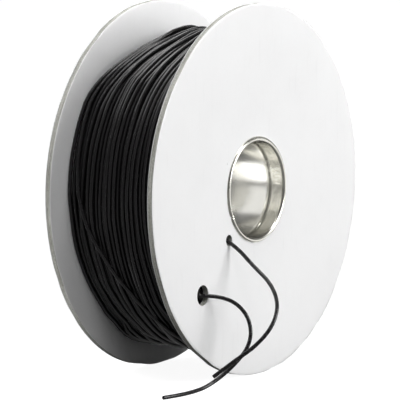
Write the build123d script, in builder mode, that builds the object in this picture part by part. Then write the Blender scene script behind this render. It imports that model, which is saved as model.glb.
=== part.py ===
"""Wire spool: two dished board flanges on a tinplate core, wound with insulated wire.

The spool's axis is Y and its origin is the middle of the bore. The front flange, which the
two wire ends come through, faces -Y. The spool stands on its rims, so the floor is at
z = -flange_d / 2. All sizes are in millimetres.
"""

import os
from math import pi, radians, sqrt, tan

from build123d import *

# Driving dimensions
flange_d = 200.0  # across the flanges
bore_d = 52.0  # inside the end collars, for the spindle
overall_width = 68.3  # over the two rims

dish = 1.35  # how far a flange's middle sits inboard of its rim
clamp_r = 34.0  # flat middle of a flange, clamped by the core
land_r = 88.0  # from here to the rim the outer face is flat again
paper_t = 0.3  # white liner on each face of a flange
board_t = 2.6  # grey board between the liners

outer_hole = (-53.1, -51.5)  # x, z of the hole for the outer wire end
outer_hole_d = 11.0
inner_hole = (-26.8, -25.0)  # x, z of the hole for the inner wire end
inner_hole_d = 6.0

tin_t = 0.35  # tinplate of the core tube and the collars
curl_r = 1.35  # outside radius of the lip curled over a flange
curl_sink = 0.15  # how far the middle of the curl lies below the flange's face
collar_depth = 9.6  # how far a collar reaches in from the flange's face
bead_depth = 7.85  # from the flange's face to the middle of the bead
bead_w = 2.2
bead_h = 0.4

barrel_d = 66.0  # outside of the wound-board barrel
winding_d = 172.6  # over the last layer of wire
wire_d = 2.1  # over the insulation
conductor_d = 0.94  # stranded copper, 0.5 square millimetres
insulation_bore = 0.96

# Derived places
rim_y = overall_width / 2
flange_t = board_t + 2 * paper_t
hub_y = rim_y - dish  # outer face of a flange at the core
floor_z = -flange_d / 2
bore_r = bore_d / 2
tube_r = bore_r + tin_t  # inside of the core tube
barrel_bore_r = tube_r + tin_t
bead_y = hub_y - bead_depth
on_floor = floor_z + wire_d / 2  # centre line of a wire that lies on the floor

# Centre lines of the two free wire ends, from the winding's side to the cut end
outer_route = [
    (-51.0, -31.3, -52.1),
    (-44.0, -42.5, -51.8),
    (-38.5, -53.5, -62.0),
    (-40.0, -56.0, -77.0),
    (-49.0, -48.5, -90.0),
    (-62.0, -42.8, -98.0),
    (-76.5, -42.5, on_floor),
    (-88.5, -42.0, on_floor),
    (-98.5, -40.0, on_floor),
]
inner_route = [
    (-27.2, -30.5, -24.5),
    (-25.5, -37.0, -28.5),
    (-26.0, -47.5, -37.5),
    (-27.5, -60.0, -46.0),
    (-32.5, -68.0, -56.0),
    (-40.5, -69.5, -66.5),
    (-48.5, -64.0, -76.5),
    (-55.0, -54.5, -84.5),
    (-59.0, -44.5, -93.0),
]


def outer_face(radius):
    """Distance of a flange's outer face from the mid-plane, at a radius."""
    rise = (min(max(radius, clamp_r), land_r) - clamp_r) / (land_r - clamp_r)
    return hub_y + dish * rise


def finish(piece, name):
    """Label a piece and write it as its own STEP file."""
    piece.part.label = name
    export_step(piece.part, f"parts/{name}.step")


def corner_radii(route):
    """Largest arc that each corner of a wire's route leaves room for."""
    points = [Vector(*point) for point in route]
    runs = [end - start for start, end in zip(points, points[1:])]
    radii = []
    for before, after in zip(runs, runs[1:]):
        half_turn = radians(before.get_angle(after) / 2)
        radii.append(0.45 * min(before.length, after.length) / tan(half_turn))
    return radii


os.makedirs("parts", exist_ok=True)

# Flanges: grey board with a white liner on each face. The front one is pierced for the wire.
layers = {
    "outer_paper": (0, paper_t),
    "board": (paper_t, paper_t + board_t),
    "inner_paper": (paper_t + board_t, flange_t),
}
stations = [barrel_bore_r, clamp_r, land_r, flange_d / 2]

for side, sign in (("front", -1), ("rear", 1)):
    for layer, (near, far) in layers.items():
        upper = [(r, sign * (outer_face(r) - near)) for r in stations]
        lower = [(r, sign * (outer_face(r) - far)) for r in reversed(stations)]
        with BuildPart() as flange_layer:
            with BuildSketch(Plane.XY):
                with BuildLine():
                    Polyline(*upper, *lower, close=True)
                make_face()
            revolve(axis=Axis.Y)
            if side == "front":
                with BuildSketch(Plane.XZ):
                    with Locations(outer_hole):
                        Circle(outer_hole_d / 2)
                    with Locations(inner_hole):
                        Circle(inner_hole_d / 2)
                extrude(amount=overall_width, mode=Mode.SUBTRACT)
        finish(flange_layer, f"{side}_flange_{layer}")


def beaded_wall(radius, half_length):
    """Points of one wall line of the core, from rear to front, with its two beads."""
    line = [(radius, half_length)]
    for middle in (bead_y, -bead_y):
        line.append((radius, middle + bead_w / 2))
        line.append((radius + bead_h, middle))
        line.append((radius, middle - bead_w / 2))
    line.append((radius, -half_length))
    return line


def draw_beaded_wall(points):
    """Draw a wall line: straight runs with an arc across each bead."""
    Line(points[0], points[1])
    ThreePointArc(points[1], points[2], points[3])
    Line(points[3], points[4])
    ThreePointArc(points[4], points[5], points[6])
    Line(points[6], points[7])


# Core tube and barrel: tinplate tube inside a wound-board tube, beaded together.
core_walls = {
    "core_tube": (tube_r, barrel_bore_r, hub_y - curl_sink),
    "barrel": (barrel_bore_r, barrel_d / 2, hub_y - flange_t),
}
for name, (inner_r, outer_r, half_length) in core_walls.items():
    inner_wall = beaded_wall(inner_r, half_length)
    outer_wall = beaded_wall(outer_r, half_length)
    with BuildPart() as core_wall:
        with BuildSketch(Plane.XY):
            with BuildLine():
                draw_beaded_wall(inner_wall)
                Line(inner_wall[-1], (outer_r, -half_length))
                if name == "core_tube":
                    draw_beaded_wall(outer_wall)
                else:
                    Line((outer_r, -half_length), (outer_r, half_length))
                Line((outer_r, half_length), inner_wall[0])
            make_face()
        revolve(axis=Axis.Y)
    finish(core_wall, name)

# End collars: curled over the flange's face and beaded into the core tube.
collar_end_y = hub_y - collar_depth
curl_x = bore_r + curl_r  # middle of the curl
curl_y = hub_y - curl_sink


def draw_collar_wall(radius, lip_r, sign):
    """Draw one face of a collar, from its inner end to the lip, and return where it ends."""
    bead_start = (radius, sign * (bead_y - bead_w / 2))
    bead_end = (radius, sign * (bead_y + bead_w / 2))
    lip_start = (radius, sign * curl_y)
    lip_end = (curl_x + sqrt(lip_r**2 - curl_sink**2), sign * hub_y)
    Line((radius, sign * collar_end_y), bead_start)
    ThreePointArc(bead_start, (radius + bead_h, sign * bead_y), bead_end)
    Line(bead_end, lip_start)
    ThreePointArc(lip_start, (curl_x, sign * (curl_y + lip_r)), lip_end)
    return lip_end


for side, sign in (("front", -1), ("rear", 1)):
    with BuildPart() as collar:
        with BuildSketch(Plane.XY):
            with BuildLine():
                lip_outside = draw_collar_wall(bore_r, curl_r, sign)
                lip_inside = draw_collar_wall(tube_r, curl_r - tin_t, sign)
                Line(lip_outside, lip_inside)
                Line((bore_r, sign * collar_end_y), (tube_r, sign * collar_end_y))
            make_face()
        revolve(axis=Axis.Y)
    finish(collar, f"{side}_collar")

# Winding: the wound wire as one closed ring between the flanges.
winding_stations = [barrel_d / 2, clamp_r, winding_d / 2]
front_side = [(r, -(outer_face(r) - flange_t)) for r in winding_stations]
rear_side = [(r, outer_face(r) - flange_t) for r in reversed(winding_stations)]
with BuildPart() as wire_winding:
    with BuildSketch(Plane.XY):
        with BuildLine():
            Polyline(*front_side, *rear_side, close=True)
        make_face()
    revolve(axis=Axis.Y)
finish(wire_winding, "wire_winding")

# Free ends of the wire: insulation and the copper inside it.
for name, route in (("outer_tail", outer_route), ("inner_tail", inner_route)):
    radii = corner_radii(route)
    print(name, "bend radii", [round(radius, 1) for radius in radii])
    with BuildPart() as insulation:
        with BuildLine() as insulation_path:
            FilletPolyline(*route, radius=radii)
        with BuildSketch(Plane(insulation_path.line @ 0, z_dir=insulation_path.line % 0)):
            Circle(wire_d / 2)
            Circle(insulation_bore / 2, mode=Mode.SUBTRACT)
        sweep()
    with BuildPart() as conductor:
        with BuildLine() as conductor_path:
            FilletPolyline(*route, radius=radii)
        with BuildSketch(Plane(conductor_path.line @ 0, z_dir=conductor_path.line % 0)):
            Circle(conductor_d / 2)
        sweep()
    length = insulation_path.wires()[0].length
    section = pi / 4 * (wire_d**2 - insulation_bore**2)
    print(name, "length", round(length, 1), "volume over section",
          round(insulation.part.volume / section, 1))
    finish(insulation, name)
    finish(conductor, f"{name}_conductor")
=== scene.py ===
"""Wire spool: black hook-up wire wound on a board spool with a tinplate core.

The spool's axis is Y, the middle of its bore is the origin, and it stands on its rims on a
floor at z = -0.1. The front flange, which the two wire ends come through, faces -Y. Sizes in
the classes are in millimetres, and MM turns them into metres.
"""

import logging
import math
from dataclasses import dataclass, field
from enum import Enum

import bpy
import numpy as np
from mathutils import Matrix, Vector, noise


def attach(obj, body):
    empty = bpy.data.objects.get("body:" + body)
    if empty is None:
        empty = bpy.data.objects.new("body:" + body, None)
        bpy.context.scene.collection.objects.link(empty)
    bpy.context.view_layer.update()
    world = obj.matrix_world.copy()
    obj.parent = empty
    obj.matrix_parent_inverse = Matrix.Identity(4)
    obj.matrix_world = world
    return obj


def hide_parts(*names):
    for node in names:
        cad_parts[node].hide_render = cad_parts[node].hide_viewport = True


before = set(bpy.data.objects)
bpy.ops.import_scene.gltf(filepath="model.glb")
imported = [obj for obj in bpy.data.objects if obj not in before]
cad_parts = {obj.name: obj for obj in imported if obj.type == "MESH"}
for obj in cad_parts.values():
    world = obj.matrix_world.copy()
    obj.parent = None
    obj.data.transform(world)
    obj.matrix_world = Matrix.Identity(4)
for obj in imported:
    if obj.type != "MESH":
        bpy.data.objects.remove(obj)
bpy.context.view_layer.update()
MM = 0.001
MERGE = 0.002 * MM  # points closer than this are one
WIRE_D = 2.1  # over the insulation
ROOT = "root"
log = logging.getLogger("wire_spool")


class Side(Enum):
    """The two ends of the spool, by the direction that each one faces along Y."""

    FRONT = -1
    REAR = 1

    @property
    def word(self) -> str:
        """The end's name in the names of its pieces."""
        return self.name.lower()


# ---------------------------------------------------------------- finishes


class Recipe:
    """The nodes of one material while they are being put together."""

    def __init__(self, name: str) -> None:
        """Start a material with a bare shader.

        Args:
            name: The material's name.
        """
        self.material = bpy.data.materials.new(name)
        self.material.use_nodes = True
        tree = self.material.node_tree
        self.nodes = tree.nodes
        self.links = tree.links
        self.shader = self.nodes["Principled BSDF"]

    def set(self, **values: object) -> None:
        """Set or link the shader's own sockets, which are named in snake case."""
        for key, value in values.items():
            self.feed(self.shader.inputs[key.replace("_", " ").title().replace("Ior", "IOR")], value)

    def feed(self, socket: bpy.types.NodeSocket, value: object) -> None:
        """Give a socket a constant, or link another socket to it.

        Args:
            socket: The input.
            value: A constant or an output socket.
        """
        if isinstance(value, bpy.types.NodeSocket):
            self.links.new(value, socket)
        else:
            socket.default_value = value

    def add(self, kind: str, inputs: dict[object, object], **settings: object) -> bpy.types.Node:
        """Add a node.

        Args:
            kind: The node's type, without its ShaderNode prefix.
            inputs: Values or sockets for its inputs, by name or by number.
            settings: The node's own properties.

        Returns:
            The node.
        """
        node = self.nodes.new(f"ShaderNode{kind}")
        for key, value in settings.items():
            setattr(node, key, value)
        for key, value in inputs.items():
            self.feed(node.inputs[key], value)
        return node

    def place(self) -> bpy.types.NodeSocket:
        """The point on the piece, in metres."""
        return self.add("TexCoord", {}).outputs["Object"]

    def stretched(self, scale: tuple[float, float, float]) -> bpy.types.NodeSocket:
        """The point on the piece, with so many repeats per metre along X, Y and Z."""
        return self.add("Mapping", {"Vector": self.place(), "Scale": scale}).outputs["Vector"]

    def noise(self, vector: bpy.types.NodeSocket, scale: float, detail: float = 4.0,
              rough: float = 0.55, w: object = None) -> bpy.types.NodeSocket:
        """Add a noise texture.

        Args:
            vector: The point to read it at.
            scale: Its scale.
            detail: Octaves.
            rough: How strong the fine octaves are.
            w: A fourth coordinate, for patterns that wrap round the spool.

        Returns:
            The noise, about 0.25 to 0.75.
        """
        inputs = {"Vector": vector, "Scale": scale, "Detail": detail, "Roughness": rough}
        if w is not None:
            inputs["W"] = w
        dimensions = "3D" if w is None else "4D"
        return self.add("TexNoise", inputs, noise_dimensions=dimensions).outputs["Fac"]

    def round_spool(self, around: float, across: float) -> tuple[object, object]:
        """Coordinates that wrap round the spool's axis without a seam.

        Args:
            around: Pattern size round the axis, as the radius of the wrap.
            across: Pattern repeats per metre along the axis and outwards.

        Returns:
            A vector and a fourth coordinate, for a 4D noise texture.
        """
        split = self.add("SeparateXYZ", {0: self.place()})
        flat = self.add("CombineXYZ", {0: split.outputs[0], 2: split.outputs[2]}).outputs[0]
        radius = self.add("VectorMath", {0: flat}, operation="LENGTH").outputs["Value"]
        unit = self.add("VectorMath", {0: flat}, operation="NORMALIZE").outputs[0]
        turned = self.add("VectorMath", {0: unit, "Scale": around}, operation="SCALE").outputs[0]
        lift = self.add("Math", {0: split.outputs[1], 1: across}, operation="MULTIPLY").outputs[0]
        rise = self.add("CombineXYZ", {1: lift}).outputs[0]
        vector = self.add("VectorMath", {0: turned, 1: rise}, operation="ADD").outputs[0]
        outward = self.add("Math", {0: radius, 1: across}, operation="MULTIPLY").outputs[0]
        return vector, outward

    def ramp(self, factor: bpy.types.NodeSocket, *stops: tuple[float, object]) -> bpy.types.NodeSocket:
        """Turn a number into a colour or a grey.

        Args:
            factor: The number.
            stops: Places from 0 to 1, each with a grey or a red, green, blue colour.

        Returns:
            The colour.
        """
        node = self.add("ValToRGB", {0: factor})
        band = node.color_ramp
        while len(band.elements) < len(stops):
            band.elements.new(0.5)
        for element, (place, tone) in zip(band.elements, stops):
            element.position = place
            element.color = (tone, tone, tone, 1.0) if isinstance(tone, float) else (*tone, 1.0)
        return node.outputs["Color"]

    def range(self, factor: bpy.types.NodeSocket, low: float, high: float,
              to_low: float, to_high: float) -> bpy.types.NodeSocket:
        """Stretch the range from low to high onto the range from to_low to to_high."""
        inputs = {"Value": factor, "From Min": low, "From Max": high, "To Min": to_low, "To Max": to_high}
        return self.add("MapRange", inputs).outputs["Result"]

    def multiply(self, colour: object, *greys: bpy.types.NodeSocket) -> bpy.types.NodeSocket:
        """Darken a colour by greys.

        Args:
            colour: The colour, or a socket.
            greys: What it is multiplied by.

        Returns:
            The darkened colour.
        """
        for grey in greys:
            mix = self.add("Mix", {}, data_type="RGBA", blend_type="MULTIPLY")
            mix.inputs["Factor"].default_value = 1.0
            self.feed(mix.inputs[6], colour if isinstance(colour, bpy.types.NodeSocket) else (*colour, 1.0))
            self.feed(mix.inputs[7], grey)
            colour = mix.outputs[2]
        return colour

    def bump(self, *layers: tuple[bpy.types.NodeSocket, float, float]) -> None:
        """Add relief to the shader, from the coarsest layer to the finest.

        Args:
            layers: Height, strength and depth in millimetres of each layer.
        """
        normal = None
        for height, strength, depth in layers:
            node = self.add("Bump", {"Height": height, "Strength": strength, "Distance": depth * MM})
            if normal is not None:
                self.feed(node.inputs["Normal"], normal)
            normal = node.outputs["Normal"]
        self.feed(self.shader.inputs["Normal"], normal)


@dataclass(frozen=True)
class LinerPaper:
    """Smooth white liner glued on the board, with faint clouding, scuffs and specks."""

    name: str = "white_liner_paper"
    tone: tuple[float, float, float] = (0.890, 0.890, 0.892)
    gloss: float = 0.35

    def material(self) -> bpy.types.Material:
        """Make the liner's material.

        Returns:
            The material.
        """
        recipe = Recipe(self.name)
        point = recipe.place()
        clouds = recipe.noise(point, 26.0, 5.0, 0.6)
        fibre = recipe.noise(point, 1500.0, 6.0, 0.65)
        handling = recipe.noise(recipe.stretched((420.0, 420.0, 45.0)), 1.0, 3.0, 0.5)
        cells = recipe.add("TexVoronoi", {"Vector": point, "Scale": 75.0, "Randomness": 1.0})
        chosen = recipe.add("SeparateColor", {0: cells.outputs["Color"]}).outputs[0]
        rare = recipe.range(chosen, 0.80, 0.84, 1.0, 0.0)
        near = recipe.range(cells.outputs["Distance"], 0.018, 0.034, 0.62, 1.0)
        speck = recipe.add("Math", {0: near, 1: rare}, operation="MAXIMUM").outputs[0]
        colour = recipe.multiply(
            self.tone,
            recipe.ramp(clouds, (0.30, 0.965), (0.70, 1.0)),
            recipe.ramp(fibre, (0.25, 0.975), (0.65, 1.0)),
            recipe.ramp(handling, (0.28, 0.975), (0.40, 1.0)),
            speck,
        )
        recipe.set(base_color=colour, specular_ior_level=self.gloss,
                   roughness=recipe.range(clouds, 0.3, 0.7, 0.52, 0.66))
        recipe.bump((clouds, 0.20, 0.12), (fibre, 0.12, 0.02))
        return recipe.material


@dataclass(frozen=True)
class GreyBoard:
    """Recycled grey board, pressed in layers, with a dry fibrous cut edge."""

    name: str = "grey_board"
    pale: tuple[float, float, float] = (0.640, 0.645, 0.605)
    dark: tuple[float, float, float] = (0.240, 0.240, 0.218)

    def material(self) -> bpy.types.Material:
        """Make the board's material.

        Returns:
            The material.
        """
        recipe = Recipe(self.name)
        point = recipe.place()
        vector, outward = recipe.round_spool(5.0, 1500.0)
        layers = recipe.noise(vector, 1.0, 3.0, 0.5, w=outward)
        fibre = recipe.noise(point, 1300.0, 6.0, 0.7)
        patches = recipe.noise(point, 60.0, 4.0, 0.6)
        grain = recipe.add("Mix", {}, data_type="FLOAT")
        recipe.feed(grain.inputs[0], 0.5)
        recipe.feed(grain.inputs[2], layers)
        recipe.feed(grain.inputs[3], fibre)
        colour = recipe.multiply(
            recipe.ramp(grain.outputs[0], (0.36, self.dark), (0.60, self.pale)),
            recipe.ramp(patches, (0.30, (0.84, 0.83, 0.80)), (0.68, (1.0, 1.0, 1.0))),
        )
        recipe.set(base_color=colour, roughness=0.92, specular_ior_level=0.2)
        recipe.bump((layers, 0.55, 0.25), (fibre, 0.50, 0.10))
        return recipe.material


@dataclass(frozen=True)
class Tinplate:
    """Bright tinplate, with faint rolling lines and handling haze."""

    name: str = "tinplate"
    tone: tuple[float, float, float] = (0.86, 0.855, 0.83)
    polish: float = 0.10
    haze: float = 0.24

    def material(self) -> bpy.types.Material:
        """Make the tinplate's material.

        Returns:
            The material.
        """
        recipe = Recipe(self.name)
        point = recipe.place()
        vector, outward = recipe.round_spool(160.0, 25.0)
        rolling = recipe.noise(vector, 1.0, 3.0, 0.55, w=outward)
        haze = recipe.noise(point, 55.0, 5.0, 0.6)
        spangle = recipe.noise(point, 420.0, 3.0, 0.5)
        colour = recipe.multiply(self.tone, recipe.ramp(haze, (0.3, 0.90), (0.7, 1.0)))
        recipe.set(base_color=colour, metallic=1.0,
                   roughness=recipe.range(haze, 0.3, 0.72, self.polish, self.haze))
        recipe.bump((spangle, 0.05, 0.05), (rolling, 0.05, 0.03))
        return recipe.material


@dataclass(frozen=True)
class Insulation:
    """Black PVC insulation, satin, a little different from one turn to the next."""

    name: str = "black_pvc"
    tone: float = 0.0095
    gloss: float = 0.48

    def material(self) -> bpy.types.Material:
        """Make the insulation's material.

        Returns:
            The material.
        """
        recipe = Recipe(self.name)
        point = recipe.place()
        vector, outward = recipe.round_spool(3.0, 520.0)
        turns = recipe.noise(vector, 1.0, 2.0, 0.5, w=outward)
        skin = recipe.noise(point, 2600.0, 3.0, 0.5)
        dust = recipe.noise(point, 480.0, 5.0, 0.7)
        colour = recipe.multiply(
            (self.tone * 2.25, self.tone * 2.05, self.tone * 2.25),
            recipe.ramp(turns, (0.32, 0.36), (0.66, 0.62)),
            recipe.ramp(dust, (0.55, 0.85), (0.72, 1.0)),
        )
        recipe.set(base_color=colour, specular_ior_level=self.gloss,
                   roughness=recipe.range(turns, 0.3, 0.7, 0.20, 0.31))
        recipe.bump((skin, 0.18, 0.02))
        return recipe.material


@dataclass(frozen=True)
class Copper:
    """Bare copper strands, slightly dulled."""

    name: str = "bare_copper"
    tone: tuple[float, float, float] = (0.80, 0.42, 0.25)

    def material(self) -> bpy.types.Material:
        """Make the copper's material.

        Returns:
            The material.
        """
        recipe = Recipe(self.name)
        point = recipe.place()
        tarnish = recipe.noise(point, 900.0, 4.0, 0.6)
        colour = recipe.multiply(self.tone, recipe.ramp(tarnish, (0.3, 0.68), (0.7, 1.0)))
        recipe.set(base_color=colour, metallic=1.0, roughness=recipe.range(tarnish, 0.3, 0.7, 0.24, 0.42))
        recipe.bump((tarnish, 0.15, 0.01))
        return recipe.material


@dataclass(frozen=True)
class WoundBoard:
    """Kraft board wound into a tube, with the spiral joints of its outer ply."""

    name: str = "wound_kraft_board"
    tone: tuple[float, float, float] = (0.36, 0.27, 0.18)

    def material(self) -> bpy.types.Material:
        """Make the barrel's material.

        Returns:
            The material.
        """
        recipe = Recipe(self.name)
        point = recipe.place()
        vector, outward = recipe.round_spool(60.0, 260.0)
        fibre = recipe.noise(vector, 1.0, 5.0, 0.65, w=outward)
        grain = recipe.noise(point, 1600.0, 5.0, 0.65)
        colour = recipe.multiply(
            self.tone,
            recipe.ramp(fibre, (0.3, 0.80), (0.7, 1.0)),
            recipe.ramp(grain, (0.3, 0.88), (0.7, 1.0)),
        )
        recipe.set(base_color=colour, roughness=0.88, specular_ior_level=0.25)
        recipe.bump((fibre, 0.35, 0.12), (grain, 0.30, 0.05))
        return recipe.material


@dataclass
class Finishes:
    """One material of each finish, shared by the pieces that have it."""

    paper: bpy.types.Material = field(default_factory=lambda: LinerPaper().material())
    board: bpy.types.Material = field(default_factory=lambda: GreyBoard().material())
    tin: bpy.types.Material = field(default_factory=lambda: Tinplate().material())
    pressed_tin: bpy.types.Material = field(default_factory=lambda: Tinplate(
        name="pressed_tinplate", tone=(0.66, 0.65, 0.595), polish=0.14, haze=0.32).material())
    pvc: bpy.types.Material = field(default_factory=lambda: Insulation().material())
    copper: bpy.types.Material = field(default_factory=lambda: Copper().material())
    kraft: bpy.types.Material = field(default_factory=lambda: WoundBoard().material())


# ---------------------------------------------------------------- shared bench work


class Bench:
    """Modelling steps that several pieces share."""

    @staticmethod
    def clear() -> None:
        """Leave edit mode and deselect everything."""
        if bpy.context.object and bpy.context.object.mode != "OBJECT":
            bpy.ops.object.mode_set(mode="OBJECT")
        bpy.ops.object.select_all(action="DESELECT")

    @staticmethod
    def pick(piece: bpy.types.Object) -> None:
        """Make a piece the only one selected, and the active one.

        Args:
            piece: The piece.
        """
        Bench.clear()
        piece.select_set(True)
        bpy.context.view_layer.objects.active = piece

    @staticmethod
    def turn(name: str, outline: list[tuple[float, float]], steps: int) -> bpy.types.Object:
        """Turn a closed outline round the spool's axis, as on a lathe.

        Args:
            name: The piece's name.
            outline: Radius and y of each corner, in millimetres.
            steps: Facets round the axis.

        Returns:
            The closed piece, its faces outwards.
        """
        Bench.clear()
        bpy.ops.mesh.primitive_plane_add(size=MM)
        piece = bpy.context.object
        piece.name = name
        piece.data.name = name
        bpy.ops.object.mode_set(mode="EDIT")
        bpy.ops.mesh.select_all(action="SELECT")
        bpy.ops.mesh.merge(type="CENTER")
        corners = [Vector((radius, y, 0.0)) * MM for radius, y in outline]
        bpy.ops.transform.translate(value=corners[0])
        for start, end in zip(corners, corners[1:] + corners[:1]):
            bpy.ops.mesh.extrude_region_move(TRANSFORM_OT_translate={"value": end - start})
        bpy.ops.mesh.select_all(action="SELECT")
        bpy.ops.mesh.remove_doubles(threshold=MERGE)
        bpy.ops.object.mode_set(mode="OBJECT")
        lathe = piece.modifiers.new("lathe", "SCREW")
        lathe.axis = "Y"
        lathe.steps = steps
        lathe.render_steps = steps
        lathe.use_merge_vertices = True
        lathe.merge_threshold = MERGE
        bpy.ops.object.modifier_apply(modifier=lathe.name)
        bpy.ops.object.mode_set(mode="EDIT")
        bpy.ops.mesh.select_all(action="SELECT")
        bpy.ops.mesh.remove_doubles(threshold=MERGE)
        bpy.ops.mesh.normals_make_consistent(inside=False)
        bpy.ops.object.mode_set(mode="OBJECT")
        return piece

    @staticmethod
    def punch(piece: bpy.types.Object, centre: tuple[float, float], radius: float, facets: int) -> None:
        """Punch a round hole through a piece, along the spool's axis.

        Args:
            piece: The piece.
            centre: x and z of the hole, in millimetres.
            radius: The hole's radius, in millimetres.
            facets: Facets round the hole.
        """
        Bench.clear()
        bpy.ops.mesh.primitive_cylinder_add(
            vertices=facets, radius=radius * MM, depth=0.2,
            location=(centre[0] * MM, -0.1, centre[1] * MM), rotation=(math.pi / 2, 0, 0))
        punch = bpy.context.object
        Bench.pick(piece)
        cut = piece.modifiers.new("punch", "BOOLEAN")
        cut.operation = "DIFFERENCE"
        cut.solver = "EXACT"
        cut.object = punch
        bpy.ops.object.modifier_apply(modifier=cut.name)
        bpy.data.objects.remove(punch)

    @staticmethod
    def tube(name: str, points: list[Vector], rings: list[tuple[float, float]],
             sides: int) -> bpy.types.Object:
        """Sweep a round tube with a bore along points.

        Args:
            name: The piece's name.
            points: Centre of each ring, in metres.
            rings: Bore radius and outside radius at each point, in metres; a bore of 0 makes a rod.
            sides: Facets round the tube.

        Returns:
            The closed tube.
        """
        frames = Bench.frames(points)
        circle = [(math.cos(math.tau * i / sides), math.sin(math.tau * i / sides)) for i in range(sides)]
        vertices: list[Vector] = []
        faces: list[tuple[int, ...]] = []
        walls = [1] if rings[0][0] == 0 else [1, 0]
        for wall in walls:
            for point, (across, up), radii in zip(points, frames, rings):
                vertices += [point + (across * c + up * s) * radii[wall] for c, s in circle]
        count = len(points) * sides
        for layer, wall in enumerate(walls):
            for ring in range(len(points) - 1):
                for i in range(sides):
                    a = layer * count + ring * sides + i
                    b = layer * count + ring * sides + (i + 1) % sides
                    quad = (a, b, b + sides, a + sides)
                    faces.append(quad if wall else quad[::-1])
        last = count - sides
        if len(walls) == 1:
            faces.append(tuple(range(sides))[::-1])
            faces.append(tuple(range(last, count)))
        else:
            for i in range(sides):
                j = (i + 1) % sides
                faces.append((i, count + i, count + j, j))
                faces.append((last + i, last + j, count + last + j, count + last + i))
        mesh = bpy.data.meshes.new(name)
        mesh.from_pydata(vertices, [], faces)
        piece = bpy.data.objects.new(name, mesh)
        bpy.context.scene.collection.objects.link(piece)
        return piece

    @staticmethod
    def frames(points: list[Vector]) -> list[tuple[Vector, Vector]]:
        """Carry two crosswise directions along a line without twisting them.

        Args:
            points: The line.

        Returns:
            Two unit vectors square to the line at each point.
        """
        along = [(b - a).normalized() for a, b in zip(points, points[1:])]
        along = [along[0]] + [(a + b).normalized() for a, b in zip(along, along[1:])] + [along[-1]]
        across = along[0].orthogonal().normalized()
        frames = []
        for direction in along:
            across = (across - direction * across.dot(direction)).normalized()
            frames.append((across, direction.cross(across)))
        return frames

    @staticmethod
    def done(piece: bpy.types.Object, material: bpy.types.Material, slot: str,
             nodes: list[str], smooth_angle: float) -> bpy.types.Object:
        """Shade a finished piece, dress it, and hand it to the frame.

        Args:
            piece: The piece.
            material: Its finish.
            slot: The record's material slot; not used.
            nodes: CAD nodes that it stands for.
            smooth_angle: Edges sharper than this many degrees stay crisp.

        Returns:
            The piece.
        """
        Bench.pick(piece)
        bpy.ops.object.shade_smooth_by_angle(angle=math.radians(smooth_angle))
        piece.data.materials.clear()
        piece.data.materials.append(material)
        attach(piece, ROOT)
        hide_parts(*nodes)
        return piece


# ---------------------------------------------------------------- camera, floor and lights


@dataclass(frozen=True)
class Softbox:
    """A rectangular softbox, hung in metres, that the camera doesn't see."""

    name: str
    place: tuple[float, float, float]
    size: tuple[float, float]
    power: float
    target: tuple[float, float, float] = (0.0, 0.0, 0.0)
    in_gloss: bool = True

    def hang(self) -> bpy.types.Object:
        """Hang the softbox, facing its target.

        Returns:
            The light.
        """
        lamp = bpy.data.lights.new(self.name, "AREA")
        lamp.shape = "RECTANGLE"
        lamp.size = self.size[0]
        lamp.size_y = self.size[1]
        lamp.energy = self.power
        light = bpy.data.objects.new(self.name, lamp)
        facing = Vector(self.target) - Vector(self.place)
        light.location = self.place
        light.rotation_euler = facing.to_track_quat("-Z", "Y").to_euler()
        light.visible_camera = False
        light.visible_glossy = self.in_gloss
        bpy.context.scene.collection.objects.link(light)
        return light


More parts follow.
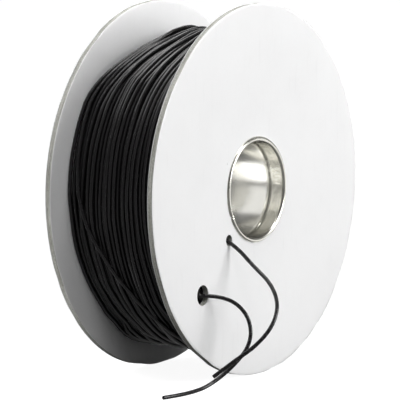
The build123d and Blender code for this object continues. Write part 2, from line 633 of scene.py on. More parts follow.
@dataclass
class Studio:
    """Camera, pale floor and soft light."""

    azimuth: float = -56.029
    elevation: float = 5.891
    distance: float = 1.8
    lens: float = 298.5
    aim: tuple[float, float] = (-3.2, -7.7)
    floor_tone: float = 0.35
    floor_glow: float = 0.93
    bench_tone: float = 0.22
    sheet_glow: float = 1.25
    ceiling_glow: float = 2.9
    zenith: float = 0.23
    horizon: float = 0.14
    ground: float = 0.26
    softboxes: tuple[Softbox, ...] = (
        Softbox("key_softbox", (0.50, -1.30, 0.45), (0.90, 0.70), 17.0),
        Softbox("left_softbox", (-0.75, -0.65, 0.90), (0.50, 0.50), 4.6, in_gloss=False),
        Softbox("overhead_softbox", (-0.05, -0.08, 0.95), (0.50, 0.30), 5.0),
        Softbox("rim_softbox", (-0.22, 0.28, -0.098), (0.50, 0.44), 1.5, (-0.22, 0.28, 1.0), False),
        Softbox("back_softbox", (-0.35, 1.30, 0.75), (0.80, 0.60), 9.0, in_gloss=False),
    )

    def camera(self) -> bpy.types.Object:
        """Stand the camera where the spool is seen from its front left.

        Returns:
            The camera.
        """
        turn = math.radians(self.azimuth)
        rise = math.radians(self.elevation)
        back = Vector((math.sin(turn) * math.cos(rise), -math.cos(turn) * math.cos(rise), math.sin(rise)))
        right = (-back).cross(Vector((0, 0, 1))).normalized()
        up = right.cross(-back)
        target = right * self.aim[0] * MM + up * self.aim[1] * MM
        spot = back * self.distance
        lens = bpy.data.cameras.new("camera")
        lens.lens = self.lens
        lens.sensor_width = 36.0
        lens.clip_start = 0.05
        lens.clip_end = 100.0
        camera = bpy.data.objects.new("camera", lens)
        camera.location = spot
        camera.rotation_euler = (target - spot).to_track_quat("-Z", "Y").to_euler()
        bpy.context.scene.collection.objects.link(camera)
        bpy.context.scene.camera = camera
        return camera

    def sheet(self, name: str, place: tuple[float, float, float], size: tuple[float, float],
              turn: tuple[float, float, float], tone: float, glow: float) -> bpy.types.Object:
        """Place a flat sheet of card.

        Args:
            name: Its name.
            place: Its middle, in metres.
            size: Its two sides, in metres.
            turn: Its turn about x, y and z, in degrees.
            tone: Its grey.
            glow: How much it glows by itself.

        Returns:
            The sheet.
        """
        Bench.clear()
        bpy.ops.mesh.primitive_plane_add(
            size=1.0, location=place, rotation=[math.radians(angle) for angle in turn])
        sheet = bpy.context.object
        sheet.name = name
        sheet.scale = (size[0], size[1], 1.0)
        bpy.ops.object.transform_apply(location=False, rotation=False, scale=True)
        recipe = Recipe(name)
        recipe.set(base_color=(tone, tone, tone, 1.0), roughness=0.9, specular_ior_level=0.1,
                   emission_color=(1, 1, 1, 1), emission_strength=glow)
        sheet.data.materials.append(recipe.material)
        return sheet

    def floor(self) -> None:
        """Lay the pale lit floor, and under it the bench that lights the spool from below."""
        flat = (0.0, 0.0, 0.0)
        pale = self.sheet("pale_floor", (0, 0, -0.1), (60.0, 60.0), flat, self.floor_tone, self.floor_glow)
        pale.visible_diffuse = False
        pale.visible_glossy = False
        bench = self.sheet("bench", (0, 0, -0.101), (60.0, 60.0), flat, self.bench_tone, 0.0)
        bench.visible_camera = False
        bench.visible_glossy = False

    def cards(self) -> None:
        """Put up the white cards that only the tinplate and the wire's sheen see."""
        cards = [
            self.sheet("right_card", (1.6, 0.0, -0.0995), (3.0, 3.0), (0, 0, 0), 0.0, self.sheet_glow),
            self.sheet("rear_card", (0.6, 0.76, -0.0990), (1.4, 1.4), (0, 0, 0), 0.0, self.sheet_glow),
            self.sheet("back_card", (1.15, 0.80, 0.06), (1.8, 0.34), (90, 0, -56), 0.0, self.sheet_glow),
            self.sheet("ceiling_card", (0.45, 0.85, 0.95), (2.1, 1.0), (0, 0, 0), 0.0, self.ceiling_glow),
        ]
        for card in cards:
            card.visible_camera = False
            card.visible_diffuse = False

    def sky(self) -> bpy.types.World:
        """Hang soft white cloth all round: brightest overhead, darker low down.

        Returns:
            The world.
        """
        world = bpy.data.worlds.new("studio")
        world.use_nodes = True
        tree = world.node_tree
        way = tree.nodes.new("ShaderNodeTexCoord")
        split = tree.nodes.new("ShaderNodeSeparateXYZ")
        height = tree.nodes.new("ShaderNodeMapRange")
        height.inputs["From Min"].default_value = -1.0
        cloth = tree.nodes.new("ShaderNodeValToRGB")
        stops = [(0.49, self.ground), (0.51, self.horizon), (1.0, self.zenith)]
        cloth.color_ramp.elements.new(0.75)
        for element, (place, tone) in zip(cloth.color_ramp.elements, stops):
            element.position = place
            element.color = (tone, tone, tone, 1.0)
        tree.links.new(way.outputs["Generated"], split.inputs[0])
        tree.links.new(split.outputs[2], height.inputs["Value"])
        tree.links.new(height.outputs["Result"], cloth.inputs[0])
        tree.links.new(cloth.outputs["Color"], tree.nodes["Background"].inputs["Color"])
        bpy.context.scene.world = world
        return world

    def build(self) -> None:
        """Set up the whole studio."""
        self.floor()
        self.cards()
        for softbox in self.softboxes:
            softbox.hang()
        self.sky()
        bpy.context.scene.view_settings.view_transform = "Standard"


# ---------------------------------------------------------------- free wire ends


@dataclass
class WireEnd:
    """One free end of the wire, from its hole in the front flange to its cut."""

    name: str
    route: list[tuple[float, float, float]]
    exit: tuple[float, float, float]
    length: float
    bore_d: float = 0.96
    pinch: float = 0.95
    strand_d: float = 0.20
    strand_rings: tuple[tuple[int, float], ...] = ((1, 0.0), (5, 0.19), (10, 0.38))
    twist: float = 12.0
    recess: float = 0.35

    def line(self) -> list[Vector]:
        """Read the wire's smooth line from its route.

        Returns:
            Points along the line, in metres, from the winding's side to the cut.
        """
        curve = bpy.data.curves.new(f"{self.name}_line", "CURVE")
        curve.dimensions = "3D"
        curve.resolution_u = 14
        spline = curve.splines.new("NURBS")
        spline.points.add(len(self.route) - 1)
        for point, place in zip(spline.points, self.route):
            point.co = (*(Vector(place) * MM), 1.0)
        spline.order_u = 3
        spline.use_endpoint_u = True
        holder = bpy.data.objects.new(f"{self.name}_line", curve)
        bpy.context.scene.collection.objects.link(holder)
        bpy.context.view_layer.update()
        mesh = bpy.data.meshes.new_from_object(holder)
        points = [vertex.co.copy() for vertex in mesh.vertices]
        bpy.data.objects.remove(holder)
        bpy.data.meshes.remove(mesh)
        return points

    def insulation(self, points: list[Vector]) -> bpy.types.Object:
        """Sweep the insulation, its cut end pinched a little by the cutters.

        Args:
            points: The wire's line.

        Returns:
            The insulation.
        """
        bore = self.bore_d / 2 * MM
        outside = WIRE_D / 2 * MM
        rings = [(bore, outside)] * (len(points) - 1) + [(bore, outside * self.pinch)]
        return Bench.tube(f"{self.name}_insulation", points, rings, 20)

    def strands(self, points: list[Vector]) -> bpy.types.Object:
        """Twist the copper strands: one in the middle, five round it and ten outside.

        Args:
            points: The wire's line.

        Returns:
            The strands as one piece, set back a little from the cut.
        """
        frames = Bench.frames(points)
        steps = [0.0] + [(b - a).length for a, b in zip(points, points[1:])]
        run = np.cumsum(steps)
        rods = []
        for count, radius in self.strand_rings:
            for i in range(count):
                back = (self.recess + 0.25 * noise.noise(Vector((i, count, 5.3)))) * MM
                line = []
                for point, (across, up), gone in zip(points, frames, run):
                    if gone > run[-1] - back:
                        break
                    angle = math.tau * (i / count + gone / (self.twist * MM))
                    line.append(point + (across * math.cos(angle) + up * math.sin(angle)) * radius * MM)
                rods.append(Bench.tube("strand", line, [(0, self.strand_d / 2 * MM)] * len(line), 6))
        Bench.clear()
        for rod in rods:
            rod.select_set(True)
        bpy.context.view_layer.objects.active = rods[0]
        bpy.ops.object.join()
        rods[0].name = f"{self.name}_strands"
        return rods[0]

    def build(self, finishes: Finishes) -> list[bpy.types.Object]:
        """Args:
            finishes: The spool's finishes.

        Returns:
            Its insulation and its strands.
        """
        points = self.line()
        cover = self.insulation(points)
        strands = self.strands(points)
        Bench.done(cover, finishes.pvc, "wire_insulation", [self.name], 50)
        Bench.done(strands, finishes.copper, "copper", [f"{self.name}_conductor"], 50)
        return [cover, strands]


# ---------------------------------------------------------------- flanges


@dataclass
class Hole:
    """A punched hole for a wire end."""

    x: float
    z: float
    radius: float


@dataclass
class Flange:
    """One dished board flange with a white liner on each face."""

    side: Side
    holes: list[Hole]
    radius: float = 100.0
    bore: float = 26.7
    clamp_r: float = 34.0
    land_r: float = 88.0
    hub_y: float = 32.8
    dish: float = 1.35
    paper: float = 0.3
    board: float = 2.6
    steps: int = 384
    warp: float = 0.16
    warp_scale: float = 55.0
    rim_from: float = 96.0
    dent: float = 0.50
    dent_scale: float = 17.0
    fray: float = 0.10
    ragged: float = 0.10

    def face(self, radius: float) -> float:
        """Distance of the outer face from the middle of the spool.

        Args:
            radius: Where, in millimetres from the axis.

        Returns:
            The distance, with the bends at the clamp and at the land eased.
        """
        total = 0.0
        for shift in (-5.0, -2.5, 0.0, 2.5, 5.0):
            place = min(max(radius + shift, self.clamp_r), self.land_r)
            total += (place - self.clamp_r) / (self.land_r - self.clamp_r)
        return self.hub_y + self.dish * total / 5

    def outline(self, near: float, far: float, rows: int) -> list[tuple[float, float]]:
        """Draw the section of one layer.

        Args:
            near: Depth of its outer side below the flange's outer face.
            far: Depth of its inner side.
            rows: Rows across its rim.

        Returns:
            Radius and y of the outline.
        """
        edge = self.radius - 0.05
        radii = [self.bore, 30.0] + [self.clamp_r + 3.6 * i for i in range(18)] + [98.2, edge - 0.12]
        sign = self.side.value
        outer = [(r, sign * (self.face(r) - near)) for r in radii]
        inner = [(r, sign * (self.face(r) - far)) for r in reversed(radii)]
        top = self.face(edge) - near
        depth = far - near
        rim = [(edge, sign * (top - depth * (0.5 + i) / rows)) for i in range(rows)]
        return outer + rim + inner

    def wear(self, piece: bpy.types.Object, fray: float) -> None:
        """Warp the layer a little, dent its rim and roughen its cut edge.

        Args:
            piece: The layer.
            fray: How deep the cut edge is roughened, in millimetres.
        """
        seed = 11.0 * self.side.value
        for vertex in piece.data.vertices:
            x, y, z = vertex.co / MM
            radius = math.hypot(x, z)
            spot = Vector((x, z, seed))
            free = min(max((radius - 40.0) / 50.0, 0.0), 1.0)
            vertex.co.y += self.warp * MM * free * noise.noise(spot / self.warp_scale)
            if radius > self.rim_from:
                rim = (radius - self.rim_from) / 4.0
                dent = max(0.0, noise.noise(spot / self.dent_scale) - 0.10) * self.dent * 2.0
                rough = fray * (0.5 + noise.noise(Vector((x * 0.8, y * 2.5, z * 0.8 + seed))))
                scale = 1.0 - (dent * rim + rough * rim ** 8) / radius
                vertex.co.x *= scale
                vertex.co.z *= scale

    def tear(self, piece: bpy.types.Object, lift: float) -> None:
        """Roughen the edges of the punched holes.

        Args:
            piece: The layer.
            lift: How far the edge is dragged outwards, in millimetres.
        """
        for hole in self.holes:
            for vertex in piece.data.vertices:
                x, y, z = vertex.co / MM
                gap = math.hypot(x - hole.x, z - hole.z)
                if abs(gap - hole.radius) < 0.15:
                    ragged = noise.noise(Vector((x * 1.3, y * 3.0, z * 1.3)))
                    scale = 1.0 + self.ragged * ragged / hole.radius
                    vertex.co.x = (hole.x + (x - hole.x) * scale) * MM
                    vertex.co.z = (hole.z + (z - hole.z) * scale) * MM
                    vertex.co.y += self.side.value * lift * MM * (0.4 + 0.6 * ragged)

    def build(self, finishes: Finishes) -> list[bpy.types.Object]:
        """Make the flange's three layers.

        Args:
            finishes: The spool's finishes.

        Returns:
            Outer liner, board and inner liner.
        """
        total = self.board + 2 * self.paper
        layers = {
            "outer_paper": (0.0, self.paper, 2, finishes.paper, "white_liner", 0.03),
            "board": (self.paper, self.paper + self.board, 9, finishes.board, "grey_board", self.fray),
            "inner_paper": (self.paper + self.board, total, 2, finishes.paper, "white_liner", 0.03),
        }
        pieces = []
        for layer, (near, far, rows, finish, slot, fray) in layers.items():
            name = f"{self.side.word}_flange_{layer}"
            piece = Bench.turn(f"{name}_visual", self.outline(near, far, rows), self.steps)
            for hole in self.holes:
                Bench.punch(piece, (hole.x, hole.z), hole.radius, 40)
            self.tear(piece, 0.10 if layer == "outer_paper" else 0.0)
            self.wear(piece, fray)
            pieces.append(Bench.done(piece, finish, slot, [name], 35))
        return pieces


# ---------------------------------------------------------------- tinplate core


@dataclass
class Core:
    """Tinplate tube through the bore, with a curled and beaded collar at each end."""

    bore_r: float = 26.0
    sheet: float = 0.35
    hub_y: float = 32.8
    curl_r: float = 1.35
    curl_sink: float = 0.15
    collar_depth: float = 9.6
    bead_depth: float = 7.85
    bead_w: float = 1.8
    bead_h: float = 0.4
    crimps: int = 34
    crimp_push: float = 0.08
    wall_wave: float = 0.03
    lip_wave: float = 0.04
    nick_angle: float = 207.4
    nick_reach: float = 4.5
    nick_lift: float = 0.75
    nick_push: float = 0.9
    tube_wave: float = 0.035
    steps: int = 360
    tube_steps: int = 240

    def wall(self, radius: float, start: float, end: float, gap: float) -> list[tuple[float, float]]:
        """Draw a straight wall with its bead, from one height to another.

        Args:
            radius: The wall's radius.
            start: Distance from the middle of the spool where it starts.
            end: Where it ends.
            gap: Space between its points away from the bead.

        Returns:
            Radius and distance of its points.
        """
        bead = self.hub_y - self.bead_depth
        half = self.bead_w / 2
        low, high = min(start, end), max(start, end)
        count = max(1, round((bead - half - low) / gap))
        marks = [low + (bead - half - low) * i / count for i in range(count)]
        marks += [bead - half + self.bead_w * i / 8 for i in range(8)]
        count = max(1, round((high - bead - half) / gap))
        marks += [bead + half + (high - bead - half) * i / count for i in range(count + 1)]
        line = []
        for y in marks:
            reach = abs(y - bead) / half
            rise = self.bead_h * 0.5 * (1 + math.cos(math.pi * reach)) if reach < 1 else 0.0
            line.append((radius + rise, y))
        return line if start < end else line[::-1]

    def collar(self, side: Side) -> bpy.types.Object:
        """Turn a collar: wall, bead and the lip curled over the flange.

        Args:
            side: Which end.

        Returns:
            The collar.
        """
        middle = (self.bore_r + self.curl_r, self.hub_y - self.curl_sink)
        foot = self.hub_y - self.collar_depth
        lip = []
        for radius in (self.curl_r, self.curl_r - self.sheet):
            reach = math.asin(self.curl_sink / radius)
            arc = [math.pi - (math.pi - reach) * i / 12 for i in range(13)]
            lip.append([(middle[0] + radius * math.cos(a), middle[1] + radius * math.sin(a)) for a in arc])
        inside = self.wall(self.bore_r, foot, middle[1] - 0.4, 0.55)
        outside = self.wall(self.bore_r + self.sheet, middle[1] - 0.4, foot, 0.55)
        outline = inside + lip[0] + lip[1][::-1] + outside
        turned = [(r, side.value * y) for r, y in outline]
        return Bench.turn(f"{side.word}_collar_visual", turned, self.steps)

    def crimp(self, piece: bpy.types.Object, side: Side) -> None:
        """Press the crimp marks into a collar's wall, and bruise its lip.

        Args:
            piece: The collar.
            side: Which end.
        """
        for vertex in piece.data.vertices:
            x, y, z = vertex.co / MM
            radius = math.hypot(x, z)
            angle = math.atan2(z, x)
            depth = self.hub_y - side.value * y
            push = 0.0
            if 0.9 < depth < 6.4 and radius < self.bore_r + self.sheet + 0.05:
                band = math.sin(math.pi * (depth - 0.9) / 5.5)
                index = angle * self.crimps / math.tau
                mark = max(0.0, math.cos(math.tau * index)) ** 2
                spot = Vector((math.cos(angle) * 9, y * 0.1, math.sin(angle) * 9))
                uneven = 0.7 + 0.6 * noise.noise(spot)
                push = self.crimp_push * band * mark * uneven
            shift = Vector((side.value * 7.0, 0, 0))
            push += self.wall_wave * noise.noise(Vector((x, y * 1.5, z)) * 0.22 + shift)
            lip = min(max((radius - self.bore_r - 0.3) / 1.0, 0.0), 1.0) if depth < 0.6 else 0.0
            if lip > 0.0:
                push += self.lip_wave * lip * noise.noise(Vector((x, 4.0 * side.value, z)) * 0.30)
                swing = math.degrees(angle) % 360 - self.nick_angle
                if side is Side.FRONT and abs(swing) < self.nick_reach:
                    bruise = 0.5 * (1 + math.cos(math.pi * swing / self.nick_reach))
                    crease = 0.5 + 0.5 * math.cos(swing * 4.0)
                    vertex.co.y -= side.value * self.nick_lift * MM * lip * bruise * crease
                    push -= self.nick_push * lip * bruise * (1.0 - crease)
            scale = 1.0 + push / radius
            vertex.co.x *= scale
            vertex.co.z *= scale

    def tube(self) -> bpy.types.Object:
        """Turn the long tube, with both its beads and a very slight unevenness.

        Returns:
            The tube.
        """
        inner = self.bore_r + self.sheet
        end = self.hub_y - self.curl_sink
        half = self.wall(inner, 0.0, end, 2.5)
        cover = self.wall(inner + self.sheet, 0.0, end, 2.5)
        inside = [(r, -y) for r, y in reversed(half[1:])] + half
        outside = [(r, -y) for r, y in reversed(cover[1:])] + cover
        piece = Bench.turn("core_tube_visual", inside + outside[::-1], self.tube_steps)
        for vertex in piece.data.vertices:
            x, y, z = vertex.co / MM
            wave = noise.noise(Vector((x * 0.09, y * 0.020, z * 0.09)))
            scale = 1.0 + self.tube_wave * wave / math.hypot(x, z)
            vertex.co.x *= scale
            vertex.co.z *= scale
        return piece

    def build(self, finishes: Finishes) -> list[bpy.types.Object]:
        """Make the core tube and both collars, and dress the barrel behind them.

        Args:
            finishes: The spool's finishes.

        Returns:
            The new pieces.
        """
        pieces = [Bench.done(self.tube(), finishes.tin, "tinplate", ["core_tube"], 40)]
        for side in Side:
            collar = self.collar(side)
            self.crimp(collar, side)
            pieces.append(Bench.done(collar, finishes.pressed_tin, "tinplate", [f"{side.word}_collar"], 40))
        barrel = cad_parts["barrel"]
        barrel.data.materials.clear()
        barrel.data.materials.append(finishes.kraft)
        return pieces


# ---------------------------------------------------------------- winding


@dataclass(frozen=True)
class Tension:
    """How a turn is held while it is laid: against moving sideways, and to its guide."""

    stiff: float
    guided: float


@dataclass
class Winding:
    """The wound wire, laid turn by turn in layers between the flanges.

    Each turn is led across by a guide, finds its own way into the hollows of the layer below,
    and is pulled tight over what it crosses.
    """

    barrel_r: float = 33.0
    full_r: float = 85.9
    hub_wall: float = 29.6
    dish: float = 1.35
    clamp_r: float = 34.0
    land_r: float = 88.0
    pitch: float = 2.3
    loose_pitch: float = 3.1
    loose_from: float = 77.0
    drawn: float = 0.30
    drawn_angle: float = 97.0
    swell: float = 2.4
    swell_angle: float = 180.0
    sag: float = 3.0
    sag_angle: float = 270.0
    reach: float = 50.0
    sag_reach: float = 75.0
    stop_r: float = 83.0
    rear_slack: float = 0.3
    stations: int = 96
    bin: float = 0.15
    start_angle: float = 243.0
    wander: float = 0.5
    loose_wander: float = 2.6
    most_turns: int = 900
    outer_turns: int = 170
    slant_from: float = 514.0
    slant_span: float = 128.0
    ride_up: float = 0.3
    down_from: float = 150.0
    down_span: float = 69.0
    down_top: float = 86.4
    down_drop: float = 11.6
    start_hole: tuple[float, float, float] = (-27.2, -30.5, -24.5)
    start_corner: tuple[float, float, float] = (-27.7, -28.6, -23.3)
    end_hole: tuple[float, float, float] = (-51.0, -31.3, -52.1)
    end_corner: tuple[float, float, float] = (-52.2, -29.4, -52.15)
    seed: int = 7
    firm: Tension = Tension(stiff=400.0, guided=0.05)
    easy: Tension = Tension(stiff=1400.0, guided=0.12)
    crossing: Tension = Tension(stiff=40.0, guided=0.2)
    turns: list[tuple[np.ndarray, np.ndarray]] = field(default_factory=list)

    def __post_init__(self) -> None:
        """Set out the stations round a turn and the bins along the barrel."""
        self.bins = np.arange(-31.2, 31.2 + self.bin / 2, self.bin)
        self.ring = np.arange(self.stations)
        self.step = math.tau / self.stations
        self.angles = math.radians(self.start_angle) + self.ring * self.step
        self.level = np.full((self.stations, len(self.bins)), self.barrel_r + WIRE_D / 2)
        self.chance = np.random.default_rng(self.seed)

    def wall(self, radius: object) -> object:
        """Distance of a flange's inner face from the middle of the spool, at a radius."""
        rise = (np.clip(radius, self.clamp_r, self.land_r) - self.clamp_r) / (self.land_r - self.clamp_r)
        return self.hub_wall + self.dish * rise

    def full(self, places: np.ndarray) -> np.ndarray:
        """The highest centre radius that the wire takes, which is a little lower towards the rear."""
        return self.full_r - self.rear_slack * np.clip((places + 10.0) / 40.0, 0.0, 1.0)

    def channel(self, angles: np.ndarray) -> np.ndarray:
        """Radius of the last stretch of wire, which runs down inside the front flange to its hole.

        Args:
            angles: Angles round the axis, in degrees.

        Returns:
            The radius at each angle, and very large where it doesn't run.
        """
        gone = np.clip((angles - self.down_from) / self.down_span, 0.0, 1.0)
        radius = self.down_top - self.down_drop * gone * gone * (3 - 2 * gone)
        runs = (angles > self.down_from - 10.0) & (angles < self.down_from + self.down_span + 9.0)
        return np.where(runs, radius, 1000.0)

    def height(self, places: np.ndarray) -> np.ndarray:
        """Read the level under one turn.

        Args:
            places: y of the wire at each station.

        Returns:
            The lowest centre radius it can take there.
        """
        spot = (places - self.bins[0]) / self.bin
        low = np.clip(spot.astype(int), 0, len(self.bins) - 2)
        part = spot - low
        rows = self.ring.reshape((-1,) + (1,) * (places.ndim - 1))
        return self.level[rows, low] * (1 - part) + self.level[rows, low + 1] * part

    def fill(self, places: np.ndarray, radii: np.ndarray) -> None:
        """Raise the level over a turn that has been laid.

        Args:
            places: y of the wire at each station.
            radii: Its radius there, or a negative number where there is no wire.
        """
        reach = int(math.ceil(WIRE_D / self.bin))
        middle = np.rint((places - self.bins[0]) / self.bin).astype(int)
        near = np.clip(middle[:, None] + np.arange(-reach, reach + 1), 0, len(self.bins) - 1)
        gap = self.bins[near] - places[:, None]
        rise = np.sqrt(np.maximum(WIRE_D ** 2 - gap * gap, 0))
        top = np.where((np.abs(gap) < WIRE_D) & (radii[:, None] > 0), radii[:, None] + rise, 0)
        rows = self.ring[:, None]
        self.level[rows, near] = np.maximum(self.level[rows, near], top)

    def lay_turn(self, wanted: np.ndarray, last_y: float, last_r: float,
                 tension: Tension) -> tuple[np.ndarray, np.ndarray]:
        """Lay one turn.

        Args:
            wanted: y that the guide asks for at each station.
            last_y: Where the turn before ended.
            last_r: Its radius there.
            tension: How the wire is held.

        Returns:
            y and radius of the wire at each station.
        """
        wall = float(self.wall(last_r)) - WIRE_D / 2 - 0.03
        degrees = np.degrees(self.angles) % 360
        shut = self.channel(degrees) < last_r + WIRE_D
        front = np.where(shut, wall - WIRE_D - 0.15, wall)
        shifts = np.arange(-20, 21) * self.bin
        tries = np.clip(wanted[:, None] + shifts[None], -front[:, None], wall)
        effort = 1.5 * (self.height(tries) - last_r) + tension.guided * shifts[None] ** 2
        arc = last_r * self.step
        cost = effort[0] + tension.stiff * ((tries[0] - last_y) / arc) ** 2
        back = np.zeros(tries.shape, int)
        for k in range(1, self.stations):
            aside = (tries[k][:, None] - tries[k - 1][None]) / arc
            move = cost[None] + tension.stiff * aside ** 2
            back[k] = move.argmin(1)
            cost = move[np.arange(len(shifts)), back[k]] + effort[k]
        choice = int(cost.argmin())
        places = np.empty(self.stations)
        for k in range(self.stations - 1, -1, -1):
            places[k] = tries[k, choice]
            choice = back[k, choice]
        bell = np.exp(-0.5 * (np.arange(-3, 4) / 1.4) ** 2)
        padded = np.concatenate([np.full(3, last_y), places, np.full(3, places[-1])])
        places = np.clip(np.convolve(padded, bell / bell.sum(), "valid"), -front, wall)
        radii = self.height(places)
        for _ in range(14):
            before = np.concatenate([[last_r], radii[:-1]])
            after = np.concatenate([radii[1:], radii[-1:]])
            radii = np.maximum(radii, (before + after) / 2 * math.cos(self.step))
        return places, radii

    def lay(self) -> None:
        """Wind the spool full."""
        entry = np.full(self.stations, -1.0)
        entry[-6:] = np.linspace(36.6, self.barrel_r + WIRE_D / 2, 6)
        self.fill(np.full(self.stations, -28.5), entry)
        last_y = -(float(self.wall(self.barrel_r)) - WIRE_D / 2)
        last_r = self.barrel_r + WIRE_D / 2
        guide = last_y
        way = 1
        pitch = self.pitch
        sway = 0.0
        sway_size = self.wander
        while len(self.turns) < self.most_turns:
            next_sway = self.chance.normal(0, sway_size) * (self.chance.random() < 0.6)
            part = self.ring / self.stations
            ease = part * part * (3 - 2 * part)
            wanted = guide + way * pitch * part + sway * (1 - ease) + next_sway * ease
            loose = self.level.mean() - WIRE_D > self.loose_from
            places, radii = self.lay_turn(wanted, last_y, last_r, self.easy if loose else self.firm)
            crowded = float((radii > self.full(places)).mean())
            radii = np.minimum(radii, self.full(places))
            self.fill(places, radii)
            self.turns.append((places, radii))
            last_y = places[-1]
            last_r = radii[-1]
            sway = next_sway
            guide += way * pitch * (1 + 3.0 * crowded)
            edge = float(self.wall(last_r)) - WIRE_D / 2
            if abs(guide) > edge - 0.2 and guide * way > 0:
                if way > 0 and self.level.mean() - WIRE_D > self.stop_r:
                    break
                guide = way * (edge - 0.3)
                way = -way
                pitch = (self.loose_pitch if loose else self.pitch) * (1 + 0.06 * self.chance.normal())
                sway_size = self.wander * (self.loose_wander if loose else 1.0)
                sway = 0.0

    def cross_over(self) -> None:
        """Lay the last two turns: along the rear, then slanting across the others to the front."""
        last_y = self.turns[-1][0][-1]
        last_r = self.turns[-1][1][-1]
        front = -(float(self.wall(self.full_r)) - WIRE_D / 2 - 0.1)
        for turn in range(2):
            run = self.start_angle + 360.0 * (turn + self.ring / self.stations)
            part = np.clip((run - self.slant_from) / self.slant_span, 0.0, 1.0)
            start = self.turns[-1 - turn][0][-1]
            wanted = start + (front - start) * part * part * (3 - 2 * part)
            places, radii = self.lay_turn(wanted, last_y, last_r, self.crossing)
            radii = np.minimum(radii, self.full(places) + self.ride_up)
            self.fill(places, radii)
            self.turns.append((places, radii))
            last_y = places[-1]
            last_r = radii[-1]

    def lobe(self, angle: float, reach: float) -> np.ndarray:
        """A smooth bump round the axis: 1 at an angle, and 0 from a reach in degrees on."""
        away = (np.degrees(self.angles) - angle + 180.0) % 360.0 - 180.0
        return np.cos(np.radians(90.0) * np.clip(away / reach, -1.0, 1.0)) ** 2

    def slump(self) -> None:
        """Let the outer layers go slack: drawn together at the top, and hanging underneath."""
        top = self.lobe(self.drawn_angle, self.reach)
        left = self.lobe(self.swell_angle, self.reach)
        under = self.lobe(self.sag_angle, self.sag_reach)
        front = -(self.hub_wall + self.dish - WIRE_D / 2)
        for index, (places, radii) in enumerate(self.turns):
            outer = np.clip((radii - 75.0) / 10.0, 0.0, 1.0)
            outer = outer * outer * (3 - 2 * outer)
            rear = np.clip((places + 5.0) / 35.0, 0.0, 1.0)
            lift = self.sag * under * (1.0 - 0.6 * rear) + self.swell * left * rear ** 2
            moved = front + (places - front) * (1.0 - self.drawn * top * outer)
            self.turns[index] = (moved, radii + lift * outer)

    @staticmethod
    def bend(start: Vector, through: Vector, end: Vector, count: int) -> np.ndarray:
        """Draw an easy bend of so many points, which rounds the corner that it goes through."""
        parts = [i / (count - 1) for i in range(count)]
        return np.array([start * (1 - t) ** 2 + through * (2 * t * (1 - t)) + end * t * t for t in parts])

    def lead_in(self) -> np.ndarray:
        """Bring the wire's start from the small hole down onto the barrel.

        Returns:
            The points up to the first turn.
        """
        angle = math.radians(self.start_angle - 4.0)
        radius = self.barrel_r + WIRE_D / 2
        landing = Vector((radius * math.cos(angle), self.turns[0][0][0], radius * math.sin(angle)))
        return self.bend(Vector(self.start_hole), Vector(self.start_corner), landing, 12) * MM

    def lead_out(self) -> np.ndarray:
        """Take the wire's end down inside the front flange to the large hole.

        Returns:
            The points from the top of the winding to the hole.
        """
        degrees = np.arange(self.down_from + 3.0, self.down_from + self.down_span - 3.0, 3.0)
        radii = self.channel(degrees)
        angles = np.radians(degrees)
        depth = -(self.wall(radii) - WIRE_D / 2 - 0.05)
        down = np.stack([radii * np.cos(angles), depth, radii * np.sin(angles)], axis=1)
        turned = self.bend(Vector(down[-1]), Vector(self.end_corner), Vector(self.end_hole), 10)
        return np.concatenate([down, turned[1:]]) * MM

    def points(self) -> np.ndarray:
        """The whole wire's line, from its hole near the core to its hole near the rim.

        Returns:
            Its points in metres.
        """
        places = np.concatenate([turn[0] for turn in self.turns])
        radii = np.concatenate([turn[1] for turn in self.turns])
        angles = np.tile(self.angles, len(self.turns))
        line = np.stack([radii * np.cos(angles), places, radii * np.sin(angles)], axis=1) * MM
        spare = int(round((self.start_angle - self.down_from) / 360.0 * self.stations))
        return np.concatenate([self.lead_in(), line[:-spare], self.lead_out()])

    def wire(self, name: str, line: np.ndarray, roundness: int) -> bpy.types.Object:
        """Sweep a stretch of the wire.

        Args:
            name: The piece's name.
            line: Its points in metres.
            roundness: Bevel resolution of its section.

        Returns:
            The stretch as a mesh.
        """
        Bench.clear()
        curve = bpy.data.curves.new(name, "CURVE")
        curve.dimensions = "3D"
        curve.bevel_depth = WIRE_D / 2 * MM
        curve.bevel_resolution = roundness
        curve.use_fill_caps = True
        spline = curve.splines.new("POLY")
        spline.points.add(len(line) - 1)
        flat = np.concatenate([line, np.ones((len(line), 1))], axis=1)
        spline.points.foreach_set("co", flat.ravel())
        spline.use_smooth = True
        piece = bpy.data.objects.new(name, curve)
        bpy.context.scene.collection.objects.link(piece)
        Bench.pick(piece)
        bpy.ops.object.convert(target="MESH")
        return bpy.context.object

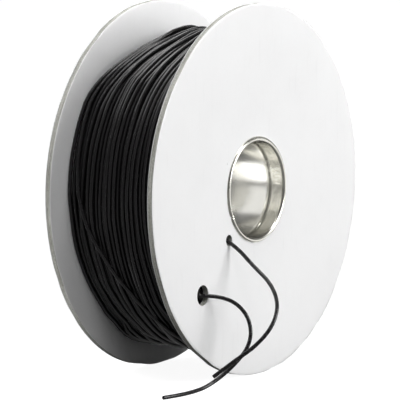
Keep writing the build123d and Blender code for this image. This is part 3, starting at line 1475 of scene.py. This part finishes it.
    def build(self, finishes: Finishes) -> list[bpy.types.Object]:
        """Wind the wire and make it in stretches.

        Args:
            finishes: The spool's finishes.

        Returns:
            The stretches, from the barrel outwards.
        """
        self.lay()
        self.cross_over()
        self.slump()
        line = self.points()
        length = float(np.linalg.norm(np.diff(line, axis=0), axis=1).sum())
        log.info("winding: %d turns, %.1f m", len(self.turns), length)
        outer = len(line) - self.outer_turns * self.stations
        middle = outer + self.outer_turns // 2 * self.stations
        cuts = [
            (0, outer // 2, 2, 1),
            (outer // 2, outer, 2, 1),
            (outer, middle, 1, 2),
            (middle, len(line) - 1, 1, 2),
        ]
        pieces = []
        for number, (first, last, stride, roundness) in enumerate(cuts, 1):
            stretch = np.concatenate([line[first:last:stride], line[last:last + 1]])
            piece = self.wire(f"wound_wire_{number}", stretch, roundness)
            pieces.append(Bench.done(piece, finishes.pvc, "wire_insulation", ["wire_winding"], 60))
        return pieces


# ---------------------------------------------------------------- assembly


def report(label: str, pieces: list[bpy.types.Object]) -> None:
    """Log what was made.

    Args:
        label: The sub-assembly.
        pieces: Its pieces.
    """
    for piece in pieces:
        piece.data.calc_loop_triangles()
        log.info("%s: %s, %d triangles", label, piece.name, len(piece.data.loop_triangles))


def main() -> None:
    """Build the spool: camera and free wire ends first, then the rest."""
    logging.basicConfig(level=logging.INFO, format="%(name)s: %(message)s")
    studio = Studio()
    studio.camera()
    finishes = Finishes()
    floor = -Flange.radius + WIRE_D / 2
    outer_end = WireEnd(
        name="outer_tail",
        route=[(-51.0, -31.3, -52.1), (-44.0, -42.5, -51.8), (-38.5, -53.5, -62.0),
               (-40.0, -56.0, -77.0), (-49.0, -48.5, -90.0), (-62.0, -42.8, -98.0),
               (-76.5, -42.5, floor), (-88.5, -42.0, floor), (-98.5, -40.0, floor)],
        exit=(-49.3, -33.8, -52.0),
        length=112.0,
    )
    inner_end = WireEnd(
        name="inner_tail",
        route=[(-27.2, -30.5, -24.5), (-25.5, -37.0, -28.5), (-26.0, -47.5, -37.5),
               (-27.5, -60.0, -46.0), (-32.5, -68.0, -56.0), (-40.5, -69.5, -66.5),
               (-48.5, -64.0, -76.5), (-55.0, -54.5, -84.5), (-59.0, -44.5, -93.0)],
        exit=(-26.5, -32.95, -26.0),
        length=104.0,
    )
    report("free ends", outer_end.build(finishes) + inner_end.build(finishes))
    holes = [Hole(-53.1, -51.5, 5.5), Hole(-26.8, -25.0, 3.0)]
    report("front flange", Flange(Side.FRONT, holes).build(finishes))
    report("rear flange", Flange(Side.REAR, []).build(finishes))
    report("core", Core().build(finishes))
    report("winding", Winding().build(finishes))
    studio.build()


if __name__ == "__main__":
    main()
